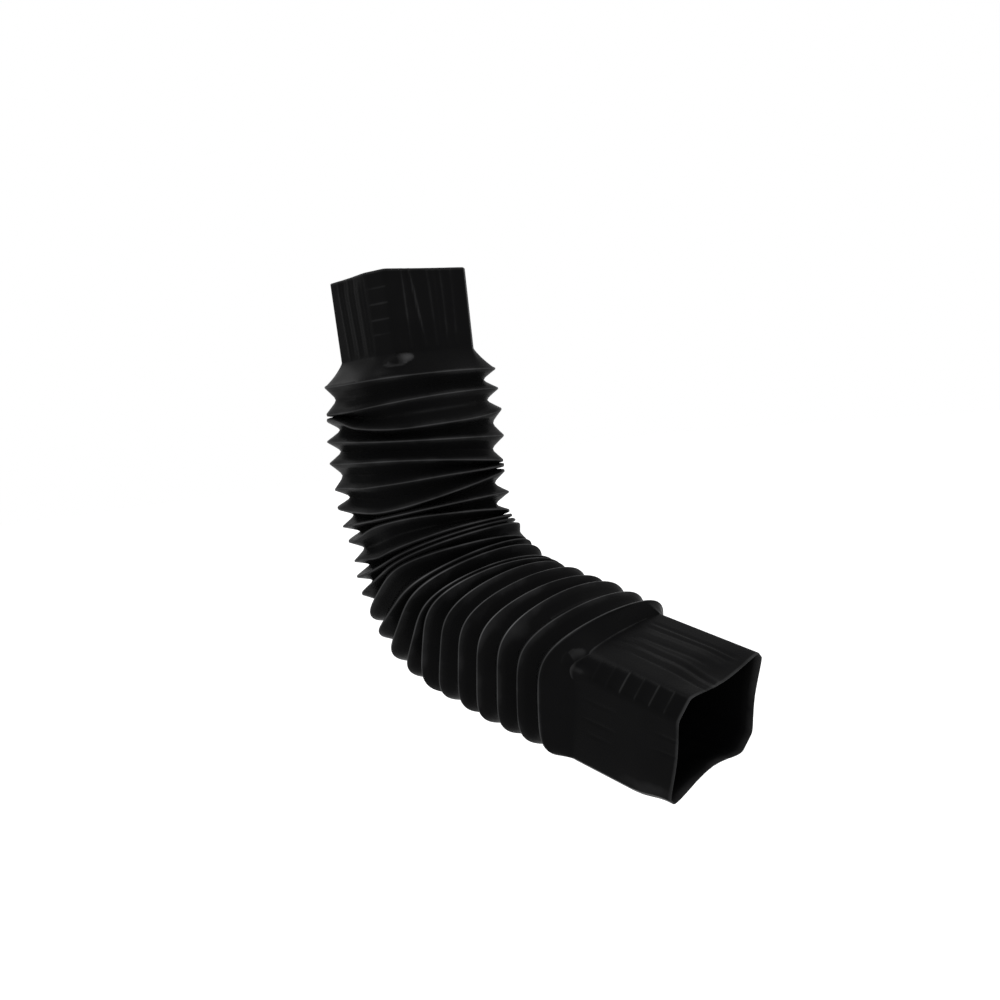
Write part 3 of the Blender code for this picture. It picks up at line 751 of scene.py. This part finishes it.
links.new(bump.outputs["Normal"], shader.inputs["Normal"])
elbow_mesh.materials.append(plastic)
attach(elbow_wall, "root")
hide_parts("flex_elbow")

# The studio: a pale floor far below the elbow, which hangs from its inlet collar, a
# white surround and one soft lamp above and behind the bend. The floor and the surround
# are brighter to the camera and in reflections than as light.
FLOOR_HEIGHT = -0.9
FLOOR_SIZE = 30.0
FLOOR_GLOW = 0.6
SURROUND_LIGHT = 0.75
BACKDROP_LIGHT = 1.0
WHITE = (1.0, 1.0, 1.0, 1.0)
PALE_GREY = (0.9, 0.9, 0.9, 1.0)


def seen_by(tree, rays):
    """1 for any of the named kinds of ray, and 0 for all others."""
    path = tree.nodes.new("ShaderNodeLightPath")
    seen = path.outputs[rays[0]]
    for ray in rays[1:]:
        either = tree.nodes.new("ShaderNodeMath")
        either.operation = "ADD"
        either.use_clamp = True
        tree.links.new(seen, either.inputs[0])
        tree.links.new(path.outputs[ray], either.inputs[1])
        seen = either.outputs["Value"]
    return seen


bpy.ops.object.select_all(action="DESELECT")
bpy.ops.mesh.primitive_plane_add(size=FLOOR_SIZE, location=(0.0, 0.0, FLOOR_HEIGHT))
floor = bpy.context.object
floor.name = "studio_floor"
paper = bpy.data.materials.new("pale_paper")
paper.use_nodes = True
nodes, links = paper.node_tree.nodes, paper.node_tree.links
paper_shader = nodes["Principled BSDF"]
paper_shader.inputs["Base Color"].default_value = PALE_GREY
paper_shader.inputs["Roughness"].default_value = 0.9
paper_shader.inputs["Specular IOR Level"].default_value = 0.0
paper_shader.inputs["Emission Color"].default_value = WHITE
glow = nodes.new("ShaderNodeMath")
glow.operation = "MULTIPLY"
glow.inputs[1].default_value = FLOOR_GLOW
links.new(seen_by(paper.node_tree, ("Is Camera Ray", "Is Glossy Ray")), glow.inputs[0])
links.new(glow.outputs["Value"], paper_shader.inputs["Emission Strength"])
floor.data.materials.append(paper)

world = bpy.data.worlds.new("studio_surround")
bpy.context.scene.world = world
world.use_nodes = True
nodes, links = world.node_tree.nodes, world.node_tree.links
surround = nodes["Background"]
surround.inputs["Color"].default_value = WHITE
surround.inputs["Strength"].default_value = SURROUND_LIGHT
backdrop = nodes.new("ShaderNodeBackground")
backdrop.inputs["Color"].default_value = WHITE
backdrop.inputs["Strength"].default_value = BACKDROP_LIGHT
straight_rays = ("Is Camera Ray", "Is Glossy Ray", "Is Transmission Ray")
choice = nodes.new("ShaderNodeMixShader")
links.new(seen_by(world.node_tree, straight_rays), choice.inputs["Fac"])
links.new(surround.outputs["Background"], choice.inputs[1])
links.new(backdrop.outputs["Background"], choice.inputs[2])
links.new(choice.outputs["Shader"], nodes["World Output"].inputs["Surface"])

CAMERA_TARGET = Vector((0.1448, 0.0, -0.1487))
LAMP_DIRECTION = Vector((-0.3, 0.12, 0.93))
LAMP_DISTANCE = 1.5
LAMP_SIZE = 0.6
LAMP_POWER = 7.7
lamp_offset = LAMP_DIRECTION.normalized() * LAMP_DISTANCE
bpy.ops.object.light_add(type="AREA", location=CAMERA_TARGET + lamp_offset)
lamp = bpy.context.object
lamp.name = "key_lamp"
lamp.rotation_euler = lamp_offset.to_track_quat("Z", "Y").to_euler()
lamp.data.size = LAMP_SIZE
lamp.data.energy = LAMP_POWER

# The camera: the photograph's angle, a little above the elbow, tilted to its side.
CAMERA_AZIMUTH = math.radians(53.9)
CAMERA_ELEVATION = math.radians(4.6)
CAMERA_ROLL = math.radians(-6.29)
CAMERA_DISTANCE = 0.8245
CAMERA_LENS = 40.32
CAMERA_SENSOR = 36.0
CAMERA_REACH = 100.0
back = Vector((
    math.sin(CAMERA_AZIMUTH) * math.cos(CAMERA_ELEVATION),
    -math.cos(CAMERA_AZIMUTH) * math.cos(CAMERA_ELEVATION),
    math.sin(CAMERA_ELEVATION),
))
level_right = Vector((math.cos(CAMERA_AZIMUTH), math.sin(CAMERA_AZIMUTH), 0.0))
right = math.cos(CAMERA_ROLL) * level_right + math.sin(CAMERA_ROLL) * back.cross(level_right)
camera_data = bpy.data.cameras.new("photo_camera")
camera_data.lens = CAMERA_LENS
camera_data.sensor_width = CAMERA_SENSOR
camera_data.clip_end = CAMERA_REACH
camera = bpy.data.objects.new("photo_camera", camera_data)
bpy.context.scene.collection.objects.link(camera)
camera_turn = Matrix((right, back.cross(right), back)).transposed().to_4x4()
camera.matrix_world = Matrix.Translation(CAMERA_TARGET + CAMERA_DISTANCE * back) @ camera_turn
bpy.context.scene.camera = camera
bpy.context.scene.view_settings.view_transform = "Standard"
